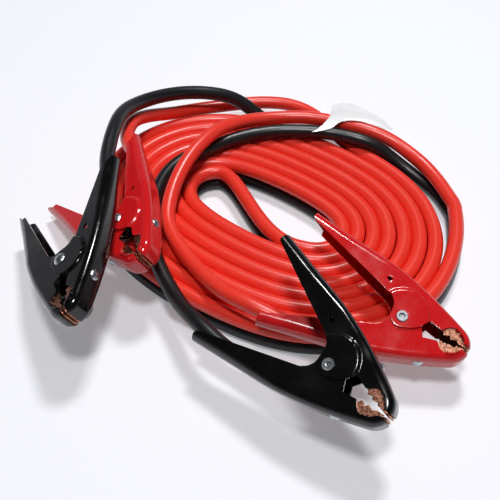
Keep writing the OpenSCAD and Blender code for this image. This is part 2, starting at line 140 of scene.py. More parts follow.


# %% [markdown]
# ## Where the clamps lie
# A clamp's place is the middle of its pivot, and three turns in degrees. Its lead is a
# free run through listed points, the same ones as in the CAD source.

# %% Places of the clamps and points of the free runs
CLAMPS = {
    "front_red": ((126, -44, 35.5), (16.5, 8, -27.5)),
    "front_black": ((73, -98, 53.5), (27, 2, -48.5)),
    "left_red": ((-77.5, 39.5, 48.5), (209.5, -10.5, -66)),
    "left_black": ((-111.5, -9.5, 55.5), (213, -3.5, -80.5)),
}
ROUTES = {
    "front_red": [
        (180.5, 135.5, 18), (172, 150.5, 20), (160, 163, 23), (147, 174, 26.7),
        (132.5, 180.7, 30.1), (119, 186.5, 31), (106, 192, 31), (93, 197, 31), (79, 201, 31),
        (65, 203, 31), (51, 203, 30.5), (31, 199, 32), (10, 189, 36), (-12, 165, 44),
        (-32, 133, 43), (-42, 108, 39), (-47, 87, 35), (-48, 65, 31), (-41, 46, 30),
        (-29, 24, 30), (-14, 2, 32), (2, -18, 36),
    ],
    "front_black": [
        (180, 131.5, 5), (170, 143.5, 7), (157.5, 153.5, 11.5), (146.3, 160.8, 17.2),
        (137, 164.6, 23.3), (127.5, 167.6, 28.3), (118, 170.5, 30.3), (106, 175, 30.3),
        (92.5, 179.5, 30.3), (78, 182, 30.3), (62, 183, 30.3), (41, 183, 30), (11, 175, 30),
        (-15, 160, 30), (-41, 142, 30), (-53, 124, 30), (-59, 102, 30), (-61, 78, 30),
        (-60, 54, 30), (-55, 26, 30), (-45, 2, 29), (-33, -22, 30),
    ],
    "left_red": [
        (107, 182, 17), (99, 195, 17), (92, 207, 17), (84, 220, 17), (74, 231, 17),
        (60, 239, 18), (43, 243, 18), (19, 242.5, 18), (-5, 238, 18), (-31, 230, 20),
        (-55, 215, 26), (-75, 195, 38), (-86, 172, 48),
    ],
    "left_black": [
        (38, 221, 8), (28, 226, 15), (17, 230, 23), (5, 232, 31), (-14, 230, 38),
        (-37, 225, 43), (-59, 212, 49), (-78, 192, 56), (-90, 166, 65), (-94, 136, 71),
    ],
}
# Seats along a handle: how far in from its end, and how far above the lug's seat.
SEATS = ((-6, 5), (10, 2), (24, 0), (36, 0))
print(len(CLAMPS), "clamps and", sum(len(r) for r in ROUTES.values()), "route points")

# %% [markdown]
# ## Colours and nodes
# Colours are written as sRGB hex values, the way a paint chart gives them, and one
# function turns them into the linear values that Blender's shaders work with. A
# second small function adds any node, with its settings and its links, so that a
# material or a Geometry Nodes tree reads as a short list.

# %% Two helpers for colours and nodes
def linear(hex_colour):
    """An sRGB hex colour as linear red, green and blue, with an alpha of 1."""
    channels = [int(hex_colour[i:i + 2], 16) / 255 for i in (1, 3, 5)]
    return [c / 12.92 if c <= 0.04045 else ((c + 0.055) / 1.055) ** 2.4 for c in channels] + [1.0]


def add(tree, kind, inputs=(), **settings):
    """Adds a node. inputs gives its sockets by name or number: a value, or another node's output."""
    node = tree.nodes.new(kind)
    for name, value in settings.items():
        setattr(node, name, value)
    for socket, value in dict(inputs).items():
        if isinstance(value, bpy.types.NodeSocket):
            tree.links.new(value, node.inputs[socket])
        else:
            node.inputs[socket].default_value = value
    return node


# %% [markdown]
# ## Insulation
# The cords wear flexible PVC: a soft, slightly waxy plastic that is extruded hot, so
# its skin is smooth round the cord, with faint drag lines along it. Its IOR is about
# 1.53 and its gloss is a satin one, and handling leaves it a little uneven. The
# drag lines follow the cord, so they read the attributes "along" and "around" that
# the cord's own tree writes. They are drawn about 1 mm apart.

# %% A material for extruded insulation
DRAG_LINES = (9.0, 38.0, 1.0)       # to a metre along the cord, and round its girth of 38 mm


def new_material(name):
    """A material, its node tree and its shader."""
    material = bpy.data.materials.new(name)
    material.use_nodes = True
    return material, material.node_tree, material.node_tree.nodes["Principled BSDF"]


def object_noise(tree, scale, detail, roughness=0.5):
    """Noise in the piece's own place, with this many features to a metre."""
    place = add(tree, "ShaderNodeTexCoord")
    noise = add(tree, "ShaderNodeTexNoise", {
        "Vector": place.outputs["Object"], "Scale": scale, "Detail": detail, "Roughness": roughness})
    return noise.outputs["Fac"]


def insulation(name, colour, dusty_colour, roughness):
    material, tree, shader = new_material(name)
    along = add(tree, "ShaderNodeAttribute", attribute_name="along")
    around = add(tree, "ShaderNodeAttribute", attribute_name="around")
    skin = add(tree, "ShaderNodeCombineXYZ", {"X": along.outputs["Fac"], "Y": around.outputs["Fac"]})
    stretched = add(tree, "ShaderNodeVectorMath", {
        0: skin.outputs[0], 1: DRAG_LINES}, operation="MULTIPLY")
    drag = add(tree, "ShaderNodeTexNoise", {"Vector": stretched.outputs[0], "Scale": 1.0, "Detail": 3.0})
    patches = object_noise(tree, 55.0, 3.0)           # patches of about 18 mm
    dust = add(tree, "ShaderNodeMapRange", {
        "Value": patches, "From Min": 0.45, "From Max": 0.75, "To Min": 0.0, "To Max": 0.35})
    paint = add(tree, "ShaderNodeMix", {
        0: dust.outputs[0], 6: linear(colour), 7: linear(dusty_colour)}, data_type="RGBA")
    tree.links.new(paint.outputs[2], shader.inputs["Base Color"])
    gloss = add(tree, "ShaderNodeMapRange", {
        "Value": drag.outputs["Fac"], "From Min": 0.3, "From Max": 0.7,
        "To Min": roughness - 0.05, "To Max": roughness + 0.08})
    tree.links.new(gloss.outputs[0], shader.inputs["Roughness"])
    height = add(tree, "ShaderNodeMath", {0: drag.outputs["Fac"], 1: patches}, operation="ADD")
    bump = add(tree, "ShaderNodeBump", {"Height": height.outputs[0], "Strength": 0.25, "Distance": 0.0003})
    tree.links.new(bump.outputs[0], shader.inputs["Normal"])
    shader.inputs["IOR"].default_value = 1.53
    return material


RED_PVC = insulation("extruded_red_pvc", "#f4392a", "#f54a38", 0.30)
BLACK_PVC = insulation("extruded_black_pvc", "#101114", "#1d1f24", 0.34)
print("insulation:", RED_PVC.name, "and", BLACK_PVC.name)

# %% [markdown]
# ## One tree that sweeps a profile along a line
# A cord is a round section carried along a line, which is a rule and not a
# sculpture, so Geometry Nodes make it. The line comes in as a chain of points. The
# tree turns it into a curve, rolls its section as far as each point says, sweeps a
# circle along it and closes the ends. One point of the circle stands proud: that is the
# fine rib along each conductor where it was torn from its twin. The tree also
# writes how far along and around each point lies, for the materials.

# %% The sweeping tree
def sweeping_tree():
    tree = bpy.data.node_groups.new("swept_round_section", "GeometryNodeTree")
    face = tree.interface
    face.new_socket("Line", in_out="INPUT", socket_type="NodeSocketGeometry")
    face.new_socket("Radius", in_out="INPUT", socket_type="NodeSocketFloat")
    face.new_socket("Sides", in_out="INPUT", socket_type="NodeSocketInt")
    face.new_socket("Rib height", in_out="INPUT", socket_type="NodeSocketFloat")
    face.new_socket("Material", in_out="INPUT", socket_type="NodeSocketMaterial")
    face.new_socket("Cord", in_out="OUTPUT", socket_type="NodeSocketGeometry")
    given = add(tree, "NodeGroupInput")
    curve = add(tree, "GeometryNodeMeshToCurve", {0: given.outputs["Line"]})
    upright = add(tree, "GeometryNodeSetCurveNormal", {0: curve.outputs[0]}, mode="Z_UP")
    roll = add(tree, "GeometryNodeInputNamedAttribute", {"Name": "roll"}, data_type="FLOAT")
    rolled = add(tree, "GeometryNodeSetCurveTilt", {0: upright.outputs[0], "Tilt": roll.outputs[0]})
    travelled = add(tree, "GeometryNodeSplineParameter")
    marked = add(tree, "GeometryNodeStoreNamedAttribute", {
        0: rolled.outputs[0], "Name": "along", "Value": travelled.outputs["Length"]})
    circle = add(tree, "GeometryNodeCurvePrimitiveCircle", {
        "Resolution": given.outputs["Sides"], "Radius": given.outputs["Radius"]})
    turned = add(tree, "GeometryNodeSplineParameter")
    section = add(tree, "GeometryNodeStoreNamedAttribute", {
        0: circle.outputs[0], "Name": "around", "Value": turned.outputs["Factor"]})
    number = add(tree, "GeometryNodeInputIndex")
    first = add(tree, "FunctionNodeCompare", {2: number.outputs[0], 3: 0}, data_type="INT", operation="EQUAL")
    spot = add(tree, "GeometryNodeInputPosition")
    outwards = add(tree, "ShaderNodeVectorMath", {0: spot.outputs[0]}, operation="NORMALIZE")
    proud = add(tree, "ShaderNodeVectorMath", {
        0: outwards.outputs[0], "Scale": given.outputs["Rib height"]}, operation="SCALE")
    ribbed = add(tree, "GeometryNodeSetPosition", {
        0: section.outputs[0], "Selection": first.outputs[0], "Offset": proud.outputs[0]})
    swept = add(tree, "GeometryNodeCurveToMesh", {
        0: marked.outputs[0], 1: ribbed.outputs[0], "Fill Caps": True})
    whole = add(tree, "GeometryNodeRealizeInstances", {0: swept.outputs[0]})
    smooth = add(tree, "GeometryNodeSetShadeSmooth", {0: whole.outputs[0]})
    dressed = add(tree, "GeometryNodeSetMaterial", {
        0: smooth.outputs[0], "Material": given.outputs["Material"]})
    add(tree, "NodeGroupOutput", {0: dressed.outputs[0]})
    return tree


SWEEP = sweeping_tree()
print("sweeping tree:", len(SWEEP.nodes), "nodes")


def socket_of(tree, name):
    """The identifier of a tree's input, which its modifier wants instead of the name."""
    return next(s.identifier for s in tree.interface.items_tree if s.name == name and s.in_out == "INPUT")


def swept(name, line_mm, radius_mm, sides, rib_mm, material, rolls):
    """A plain mesh swept along a line of points in millimetres, with each point's roll."""
    points = np.array(line_mm) * MM
    chain = bpy.data.meshes.new(name)
    chain.from_pydata(points.tolist(), [(i, i + 1) for i in range(len(points) - 1)], [])
    roll = chain.attributes.new("roll", "FLOAT", "POINT")
    roll.data.foreach_set("value", np.array(rolls, np.float32))
    maker = bpy.data.objects.new(name + "_maker", chain)
    bpy.context.scene.collection.objects.link(maker)
    work = maker.modifiers.new("sweep", "NODES")
    work.node_group = SWEEP
    for socket, value in (("Radius", radius_mm * MM), ("Sides", sides),
                          ("Rib height", rib_mm * MM), ("Material", material)):
        work[socket_of(SWEEP, socket)] = value
    graph = bpy.context.evaluated_depsgraph_get()
    mesh = bpy.data.meshes.new_from_object(maker.evaluated_get(graph), depsgraph=graph)
    mesh.name = name
    piece = bpy.data.objects.new(name, mesh)
    bpy.context.scene.collection.objects.link(piece)
    bpy.data.objects.remove(maker)
    return piece


# %% [markdown]
# ## The two conductors
# A cable has one length, so each colour is one piece from clamp to clamp. A smooth
# spline goes through the listed points, and is then read off every 4 mm, which
# gives even rings and a true length.

# %% Smooth lines from listed points
HANDLE_LEN, HANDLE_H, SHOULDER, BOW_SHARE = 90.0, 50.5, Vector((2, 33)), 0.37
HANDLE_TIP = Vector((-HANDLE_LEN, HANDLE_H))
STRAIGHT_FROM = SHOULDER + BOW_SHARE * (HANDLE_TIP - SHOULDER)
ALONG = (HANDLE_TIP - STRAIGHT_FROM).normalized()
INWARDS = Vector((-ALONG.y, ALONG.x))
SHEET_T, PLATE_GAP = 1.5, 0.3
CABLE_DEPTH = SHEET_T + PLATE_GAP + CABLE_D / 2


def clamp_place(clamp):
    """The turn and shift that carry a clamp from its own frame to its place."""
    at, turns = CLAMPS[clamp]
    return Matrix.Translation(at) @ Euler([math.radians(t) for t in turns]).to_matrix().to_4x4()


def on_handle(s, depth):
    """A point of the side view, s in from the handle's end and this deep under its back."""
    return HANDLE_TIP - s * ALONG + depth * INWARDS


def lead_points(clamp):
    """The free run from the coil's end to the lug, as in the CAD source."""
    side, colour = clamp.split("_")
    line = coil_line(colour)
    end, before = (line[0], line[1]) if side == "front" else (line[-1], line[-2])
    heading = (end - before) / np.linalg.norm(end - before)
    points = [end + CABLE_D * heading] + [np.array(p, float) for p in ROUTES[clamp]]
    for s, lift in SEATS:
        seat = on_handle(s, CABLE_DEPTH + lift)
        points.append(np.array(clamp_place(clamp) @ Vector((seat.x, -seat.y, 0))))
    return points


def spline(points, steps=12):
    """A centripetal spline through all the points."""
    p = np.array([2 * points[0] - points[1], *points, 2 * points[-1] - points[-2]])
    out = [p[1]]
    for a, b, c, d in zip(p[:-3], p[1:-2], p[2:-1], p[3:]):
        k1 = np.linalg.norm(b - a) ** 0.5
        k2 = k1 + np.linalg.norm(c - b) ** 0.5
        k3 = k2 + np.linalg.norm(d - c) ** 0.5
        for t in np.linspace(k1, k2, steps + 1)[1:]:
            ab = (k1 - t) / k1 * a + t / k1 * b
            bc = (k2 - t) / (k2 - k1) * b + (t - k1) / (k2 - k1) * c
            cd = (k3 - t) / (k3 - k2) * c + (t - k2) / (k3 - k2) * d
            abc = (k2 - t) / k2 * ab + t / k2 * bc
            bcd = (k3 - t) / (k3 - k1) * bc + (t - k1) / (k3 - k1) * cd
            out.append((k2 - t) / (k2 - k1) * abc + (t - k1) / (k2 - k1) * bcd)
    return np.array(out)


def evenly(line, step):
    """The same line with a point every step."""
    far = np.concatenate(([0], np.cumsum(np.linalg.norm(np.diff(line, axis=0), axis=1))))
    marks = np.linspace(0, far[-1], int(round(far[-1] / step)) + 1)
    return np.stack([np.interp(marks, far, line[:, k]) for k in range(3)], axis=1)


EASE_PASSES, END_RINGS = 8, 6


def eased(line, keep_from, keep_to):
    """Takes small kinks out of the free runs. The coil between them and both ends stay."""
    line = line.copy()
    for _ in range(EASE_PASSES):
        calm = (line[:-2] + 2 * line[1:-1] + line[2:]) / 4
        for part in (slice(END_RINGS, keep_from), slice(keep_to, len(line) - END_RINGS - 1)):
            line[part] = calm[part.start - 1:part.stop - 1]
    return line


# %% The red and the black conductor
RING_EVERY, CORD_SIDES, RIB_HEIGHT = 4.0, 36, 0.55
ROLL_OVER = 90.0                        # the rib rolls over along this much of a lead
ROLL_IN_COIL = {"red": math.pi, "black": 0.0}
ROLL_IN_LEADS = {"red": 1.9, "black": 1.2}
for colour, material in (("red", RED_PVC), ("black", BLACK_PVC)):
    left, front = lead_points("left_" + colour), lead_points("front_" + colour)
    coil = coil_line(colour)
    line = evenly(spline(left[::-1] + coil[::-1] + front), RING_EVERY)
    coil_from = int(np.argmin(np.linalg.norm(line - coil[-1], axis=1)))
    coil_to = int(np.argmin(np.linalg.norm(line - coil[0], axis=1)))
    line = eased(line, coil_from, coil_to)
    ring = np.arange(len(line))
    free = np.clip(np.maximum(coil_from - ring, ring - coil_to) * RING_EVERY / ROLL_OVER, 0, 1)
    free = free * free * (3 - 2 * free)
    rolls = ROLL_IN_COIL[colour] * (1 - free) + ROLL_IN_LEADS[colour] * free
    piece = swept(colour + "_conductor", line, CABLE_D / 2, CORD_SIDES, RIB_HEIGHT, material, rolls)
    for vertex in piece.data.vertices:       # the soft skin lies flat on the floor
        vertex.co.z = max(vertex.co.z, 0.0)
    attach(piece, "cable_set")
    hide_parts(colour + "_coil", f"front_{colour}_lead", f"left_{colour}_lead")

# %% [markdown]
# ## The pressed clamp halves
# Each clamp is two halves of 1.5 mm sheet steel. A press folds a half into a
# channel: a long spine with a plate down each side. The spine is well rounded in
# the handle, where a hand holds it, and tighter over the jaws. Round the pivot one
# plate is pressed outwards into a low boss, so that it can lap over the other half.
#
# A box with bevelled edges would lose that fold. Instead, the outer skin is laid out
# as a grid, like the sheet itself: stations run along the back from the handle's end
# to the lips, and each station is a U-shaped section. Solidify then gives the sheet
# its thickness, and a fine bevel rounds the cut rim.

# %% The side view: the back and the edge under it
CLAMP_W, TIP_W, TAPER_FROM = 20.0, 15.6, -24.0
JAW_LEN, NOSE_R, NOSE_OPENS, LIP_GAP, EAR_R = 52.0, 14.5, 64.0, 1.6, 8.0
NOSE = Vector((JAW_LEN - NOSE_R, 0))
SCALLOP_R = 0.585 * NOSE_R
END_DEPTH, CORNER_R = 8.0, 4.0
NOTCH_LEN, NOTCH_DEPTH = 9.5, 5.5
BOSS_AT, BOSS_R, BOSS_RAISE = Vector((0, 4.5)), 18.0, 1.8
BOW_STEPS, PROBE = 61, 0.6


def arc(middle, r, start, stop, steps):
    """Points of an arc, between two angles in degrees."""
    turns = [math.radians(start + (stop - start) * i / steps) for i in range(steps + 1)]
    return [Vector((middle[0] + r * math.cos(a), middle[1] + r * math.sin(a))) for a in turns]


nose_arc = arc(NOSE, NOSE_R, NOSE_OPENS, math.degrees(math.asin(LIP_GAP / NOSE_R)), 24)
bow = [(1 - t)**2 * STRAIGHT_FROM + 2 * t * (1 - t) * SHOULDER + t * t * nose_arc[0]
       for t in np.linspace(0, 1, BOW_STEPS)]
BACK = np.array([HANDLE_TIP, *bow, *nose_arc[1:]])
BACK_FAR = np.concatenate(([0], np.cumsum(np.linalg.norm(np.diff(BACK, axis=0), axis=1))))


def back_at(far):
    """Point and inward normal of the back, this far from the handle's end."""
    ahead, behind = ([np.interp(f, BACK_FAR, BACK[:, k]) for k in (0, 1)]
                     for f in (min(far + PROBE, BACK_FAR[-1]), max(far - PROBE, 0)))
    way = Vector(ahead) - Vector(behind)
    way.normalize()
    point = Vector([np.interp(far, BACK_FAR, BACK[:, k]) for k in (0, 1)])
    return point, Vector((way.y, -way.x))


def far_at(x):
    """How far along the back it is to this x, short of the nose's round front."""
    return float(np.interp(x, BACK[:, 0], BACK_FAR))


# The lower edge: a waist behind the pivot's ear, a throat before it, and the mouth.
ear = arc((0, 0), EAR_R, 180, 290, 26)
scallop = arc((NOSE.x, LIP_GAP), SCALLOP_R, 155, 0, 26)
waist = [Vector(v) * EAR_R for v in ((-2.31, 1.85), (-1.81, 1.65), (-1.31, 1.19), (-1.08, 0.69))]
chin = [Vector(v) * EAR_R for v in ((1.25, -0.56), (1.81, -0.13))]
throat = Vector((NOSE.x - 1.28 * NOSE_R, 0.47 * NOSE_R))
mouth = Vector((NOSE.x - 1.1 * SCALLOP_R, 0.53 * SCALLOP_R))
THROAT_X, MOUTH_X = 20, 27.5
STEEL_END = BACK_FAR[-1] - 1.4          # the copper shows past the steel's end

# Its stretches, each with the part of the back over it and its number of stations.
HALF_EDGE = [
    (far_at(-86), far_at(-18.5), 22, [on_handle(CORNER_R, END_DEPTH), waist[0]]),
    (far_at(-18.5), far_at(-7), 14, waist),
    (far_at(-7), far_at(9), 20, [waist[-1], *ear]),
    (far_at(9), far_at(15), 8, [ear[-1], *chin]),
    (far_at(15), far_at(THROAT_X), 7, [chin[-1], throat]),
    (far_at(THROAT_X), far_at(MOUTH_X), 9, [throat, mouth]),
    (far_at(MOUTH_X), STEEL_END, 34, [mouth, *scallop]),
]


def edge_stations(stretches):
    """Pairs of a distance along the back and the edge point under it."""
    pairs = []
    for start, stop, count, edge in stretches:
        e = np.array(edge)
        far = np.concatenate(([0], np.cumsum(np.linalg.norm(np.diff(e, axis=0), axis=1))))
        for i in range(1 if pairs else 0, count + 1):
            mark = far[-1] * i / count
            pairs.append((start + (stop - start) * i / count,
                          Vector([np.interp(mark, far, e[:, k]) for k in (0, 1)])))
    return pairs


print("the back is", round(BACK_FAR[-1], 1), "mm long, handle to lips")

# %% A channel laid out as a grid
BEND_ROWS, PLATE_ROWS, SPINE_ROWS = 7, 26, 12
MOST_IN_BEND = 0.45
LIP_TURN = 3.0                          # over these last mm the section turns to face back
BOSS_FOOT, BOSS_SLOPE = 0.5, 1.9        # the slope starts this far outside the boss, and its width


def half_section(depth, bend_r, half_w):
    """Depth and reach of each row, from the spine's edge down one plate."""
    bend_len = bend_r * math.pi / 2
    if depth > bend_r:
        whole = bend_len + depth - bend_r
    else:
        whole = bend_r * math.acos(1 - depth / bend_r)
    in_bend = min(bend_len, MOST_IN_BEND * whole)
    marks = [in_bend * i / BEND_ROWS for i in range(1, BEND_ROWS)]
    marks += [in_bend + (whole - in_bend) * i / PLATE_ROWS for i in range(PLATE_ROWS + 1)]
    rows = []
    for mark in marks:
        if mark < bend_len:
            rows.append((bend_r * (1 - math.cos(mark / bend_r)),
                         half_w - bend_r + bend_r * math.sin(mark / bend_r)))
        else:
            rows.append((bend_r + mark - bend_len, half_w))
    return rows


def channel_grid(stations, boss=False):
    """Rows of points, one row for each station.

    A station is (far, edge point or depth on the -Z side, the same on the +Z side,
    half width, bend radius, how far inside the back it lies)."""
    grid = []
    for far, low, high, half_w, bend_r, inset in stations:
        back, normal = back_at(far)
        if far > BACK_FAR[-1] - LIP_TURN:
            turned = (far - BACK_FAR[-1] + LIP_TURN) / LIP_TURN
            normal = normal.lerp(Vector((-1, 0)), turned).normalized()
        back = back + inset * normal
        sides = []
        for edge in (low, high):
            under = back + bend_r * normal
            deep = isinstance(edge, Vector)
            depth = bend_r + (edge - under).length if deep else edge
            rows = []
            for d, reach in half_section(depth, bend_r, half_w):
                if deep and d > bend_r:
                    at = under.lerp(edge, (d - bend_r) / (depth - bend_r))
                else:
                    at = back + d * normal
                rows.append((at, reach))
            sides.append(rows)
        flat = half_w - bend_r
        row = [(p.x, p.y, -z) for p, z in reversed(sides[0])]
        row += [(back.x, back.y, -flat + 2 * flat * i / SPINE_ROWS) for i in range(SPINE_ROWS + 1)]
        for p, z in sides[1]:
            if boss:
                off = (p - BOSS_AT).length
                t = min(1, max(0, (BOSS_R + BOSS_FOOT - off) / BOSS_SLOPE))
                z += BOSS_RAISE * t * t * (3 - 2 * t)
            row.append((p.x, p.y, z))
        grid.append(row)
    return grid


HOLE_REACH = 3.0                        # a hole is cut this far up and down its axis
MERGE_WITHIN = 0.01
RIM_ANGLE, SHARP_ANGLE = 55, 38


def shell_from_grid(name, grid, holes, thickness, rim, place, material):
    """Meshes the grid, cuts round holes, gives it a thickness and puts it in its place."""
    bm = bmesh.new()
    verts = [[bm.verts.new(p) for p in row] for row in grid]
    for a, b in zip(verts[:-1], verts[1:]):
        for i in range(len(a) - 1):
            bm.faces.new((a[i], a[i + 1], b[i + 1], b[i]))
    for middle, axis, radius in holes:
        near = [v for v in bm.verts if (v.co - middle).cross(axis).length < radius
                and abs((v.co - middle).dot(axis)) < HOLE_REACH]
        around = {w for v in near for f in v.link_faces for w in f.verts} - set(near)
        bmesh.ops.delete(bm, geom=near, context="VERTS")
        for w in around:
            if w.is_valid and w.is_boundary:
                along_axis = (w.co - middle).dot(axis) * axis
                out = w.co - middle - along_axis
                w.co = middle + along_axis + out.normalized() * radius
    bmesh.ops.remove_doubles(bm, verts=bm.verts, dist=MERGE_WITHIN)
    bmesh.ops.recalc_face_normals(bm, faces=bm.faces)
    skin = bpy.data.meshes.new(name)
    for v in bm.verts:
        v.co = v.co * MM
    bm.to_mesh(skin)
    bm.free()
    skin.materials.append(material)
    maker = bpy.data.objects.new(name + "_maker", skin)
    bpy.context.scene.collection.objects.link(maker)
    wall = maker.modifiers.new("sheet", "SOLIDIFY")
    wall.thickness, wall.offset, wall.use_even_offset = thickness * MM, -1, False
    round_rim = maker.modifiers.new("rim", "BEVEL")
    round_rim.width, round_rim.segments = rim * MM, 2
    round_rim.limit_method, round_rim.angle_limit = "ANGLE", math.radians(RIM_ANGLE)
    graph = bpy.context.evaluated_depsgraph_get()
    mesh = bpy.data.meshes.new_from_object(maker.evaluated_get(graph), depsgraph=graph)
    bpy.data.objects.remove(maker)
    mesh.name = name
    mesh.transform(Matrix.Translation(place.translation * MM) @ place.to_3x3().to_4x4())
    for polygon in mesh.polygons:
        polygon.use_smooth = True
    mesh.set_sharp_from_angle(angle=math.radians(SHARP_ANGLE))
    piece = bpy.data.objects.new(name, mesh)
    bpy.context.scene.collection.objects.link(piece)
    return piece


# %% Stations of a pressed half
BEND_ALONG = ((-90, 7.2), (-60, 7.6), (-30, 6.4), (-18, 5.2), (5, 5.0), (30, 5.4), (52, 5.6))
CORNER_STATIONS = (0, 0.35, 0.9, 1.6, 2.4, 3.2, CORNER_R)
TIP_STATIONS = (5.5, 7, 8.5, 9.5, 9.9, 10.4, 11, 12, 14, 16, 19)
EDGE_FROM = 20.5                        # from here on the stations follow the lower edge
NOTCH_BEYOND, NOTCH_RISE = 1.0, 2.5     # its slope starts past the handle's end; its end wall
LEAST_PLATE = 0.3                       # with less plate under the bend, the section ends in it


def half_w_at(x):
    """Half the channel's width, which narrows towards the handle's end."""
    share = min(1.0, max(0.0, (x - TAPER_FROM) / (-HANDLE_LEN - TAPER_FROM)))
    return (CLAMP_W + (TIP_W - CLAMP_W) * share) / 2


def bend_at(x):
    """The fold's radius at this x."""
    return float(np.interp(x, [b[0] for b in BEND_ALONG], [b[1] for b in BEND_ALONG]))


def half_stations(notch_side):
    """The notch at the handle's end is in the plate on this side, -1 or +1."""
    made = []
    first, second = HALF_EDGE[0][3]
    for s in (*CORNER_STATIONS, *TIP_STATIONS):
        x = (HANDLE_TIP - s * ALONG).x
        if s > CORNER_R:
            over = first.lerp(second, (s - CORNER_R) / (second - first).length)
            depth = (over - on_handle(s, 0)).dot(INWARDS)
        else:
            depth = END_DEPTH - CORNER_R + math.sqrt(CORNER_R**2 - (CORNER_R - s)**2)
        if s <= NOTCH_LEN:
            slope = (NOTCH_DEPTH - SHEET_T) / (NOTCH_LEN + NOTCH_BEYOND)
            cut = SHEET_T + slope * (s + NOTCH_BEYOND)
        else:
            cut = NOTCH_DEPTH + (2 * END_DEPTH - NOTCH_DEPTH) * (s - NOTCH_LEN) / NOTCH_RISE
        notched = min(depth, cut) if s < NOTCH_LEN + NOTCH_RISE else depth
        sides = (notched, depth) if notch_side < 0 else (depth, notched)
        edges = [on_handle(s, d) if d > bend_at(x) + LEAST_PLATE else d for d in sides]
        made.append((s, *edges, half_w_at(x), bend_at(x), 0))
    for far, edge in edge_stations(HALF_EDGE):
        if far > EDGE_FROM:
            x = back_at(far)[0].x
            made.append((far, edge, edge, half_w_at(x), bend_at(x), 0))
    return made


print("a half has", len(half_stations(1)), "stations")

# %% [markdown]
# ## Copper liners
# Bare steel is a poor contact, so each jaw is lined with a folded copper pressing. It
# follows the inside of the steel, with three teeth a side that bite into the battery's
# terminal, and its lip comes forward past the steel. It is laid out as the halves are:
# a shallow strip at the back of the jaw, then stations over the teeth.

# %% Stations of a copper liner
COPPER_T, COPPER_GAP = 1.5, 0.2
LINER_DEPTH = SHEET_T + COPPER_GAP
STRIP_DEPTH, STRIP_STATIONS, STRIP_TO = 1.4, 7, 27.3
FOLD_TIGHTER = 1.8                      # the copper's fold is this much tighter than the steel's
LIP_FORWARD = 0.9                       # how much of its run past the steel brings it outwards
LIP_STATIONS = 16
TEETH_X = (MOUTH_X, 30, 34, 36, 40.5, 43)
TOOTH_STATIONS = (3, 5, 3, 5, 3)
teeth = [Vector((NOSE.x + NOSE_R * u, NOSE_R * v)) for u, v in (
    (-0.52, 0.36), (-0.43, 0.17), (-0.15, 0.28), (-0.05, 0.13), (0.24, 0.22), (0.33, 0.09))]
liner_lip = Vector((JAW_LEN - LINER_DEPTH - 2, 0.5))
LINER_EDGE = [(far_at(start), far_at(stop), count, [point, after])
              for start, stop, count, point, after in zip(
                  TEETH_X[:-1], TEETH_X[1:], TOOTH_STATIONS, teeth[:-1], teeth[1:])]
LINER_EDGE.append((far_at(TEETH_X[-1]), BACK_FAR[-1], LIP_STATIONS, [teeth[-1], liner_lip]))


def liner_stations():
    half_w = CLAMP_W / 2 - SHEET_T - COPPER_GAP
    strip = [(far, STRIP_DEPTH, STRIP_DEPTH)
             for far in np.linspace(far_at(THROAT_X), far_at(STRIP_TO), STRIP_STATIONS)]
    rows = strip + [(far, edge, edge) for far, edge in edge_stations(LINER_EDGE)]
    return [(far, low, high, half_w, bend_at(back_at(far)[0].x) - FOLD_TIGHTER,
             float(LINER_DEPTH - LIP_FORWARD * max(0, far - STEEL_END))) for far, low, high in rows]


print("a liner has", len(liner_stations()), "stations")

# %% [markdown]
# ## Enamel, copper, zinc and spring steel
# The halves are dipped in stoving enamel. Enamel is a hard gloss paint: its pigment
# is a diffuse colour of IOR 1.5, and its surface has the slow waves that painters
# call orange peel, a few millimetres long. The paint has flecks of about a millimetre,
# some a little darker and some a little paler, scattered at random, and its gloss varies in broader patches.
#
# The liners and lugs are pressed copper, tumbled but not polished, so they
# are speckled. Rivets are zinc plated, and the spring is oil-blackened steel.

# %% Materials for the clamps
def enamel(name, colour, dark, light, fleck):
    material, tree, shader = new_material(name)
    mottle = object_noise(tree, 420.0, 4.0, 0.6)      # flecks of about 1 to 2 mm
    clouds = object_noise(tree, 60.0, 2.0)            # patches of about 15 mm
    deep = add(tree, "ShaderNodeMapRange", {
        "Value": mottle, "From Min": 0.42, "From Max": 0.30, "To Min": 0.0, "To Max": fleck})
    pale = add(tree, "ShaderNodeMapRange", {
        "Value": mottle, "From Min": 0.58, "From Max": 0.74, "To Min": 0.0, "To Max": fleck})
    first = add(tree, "ShaderNodeMix", {
        0: deep.outputs[0], 6: linear(colour), 7: linear(dark)}, data_type="RGBA")
    second = add(tree, "ShaderNodeMix", {
        0: pale.outputs[0], 6: first.outputs[2], 7: linear(light)}, data_type="RGBA")
    tree.links.new(second.outputs[2], shader.inputs["Base Color"])
    gloss = add(tree, "ShaderNodeMapRange", {
        "Value": clouds, "From Min": 0.35, "From Max": 0.7, "To Min": 0.10, "To Max": 0.24})
    tree.links.new(gloss.outputs[0], shader.inputs["Roughness"])
    peel = object_noise(tree, 260.0, 1.0)             # waves of about 4 mm
    height = add(tree, "ShaderNodeMath", {0: peel, 1: mottle}, operation="ADD")
    bump = add(tree, "ShaderNodeBump", {"Height": height.outputs[0], "Strength": 0.10, "Distance": 0.0003})
    tree.links.new(bump.outputs[0], shader.inputs["Normal"])
    shader.inputs["IOR"].default_value = 1.5
    shader.inputs["Coat Weight"].default_value = 0.25
    shader.inputs["Coat Roughness"].default_value = 0.05
    return material


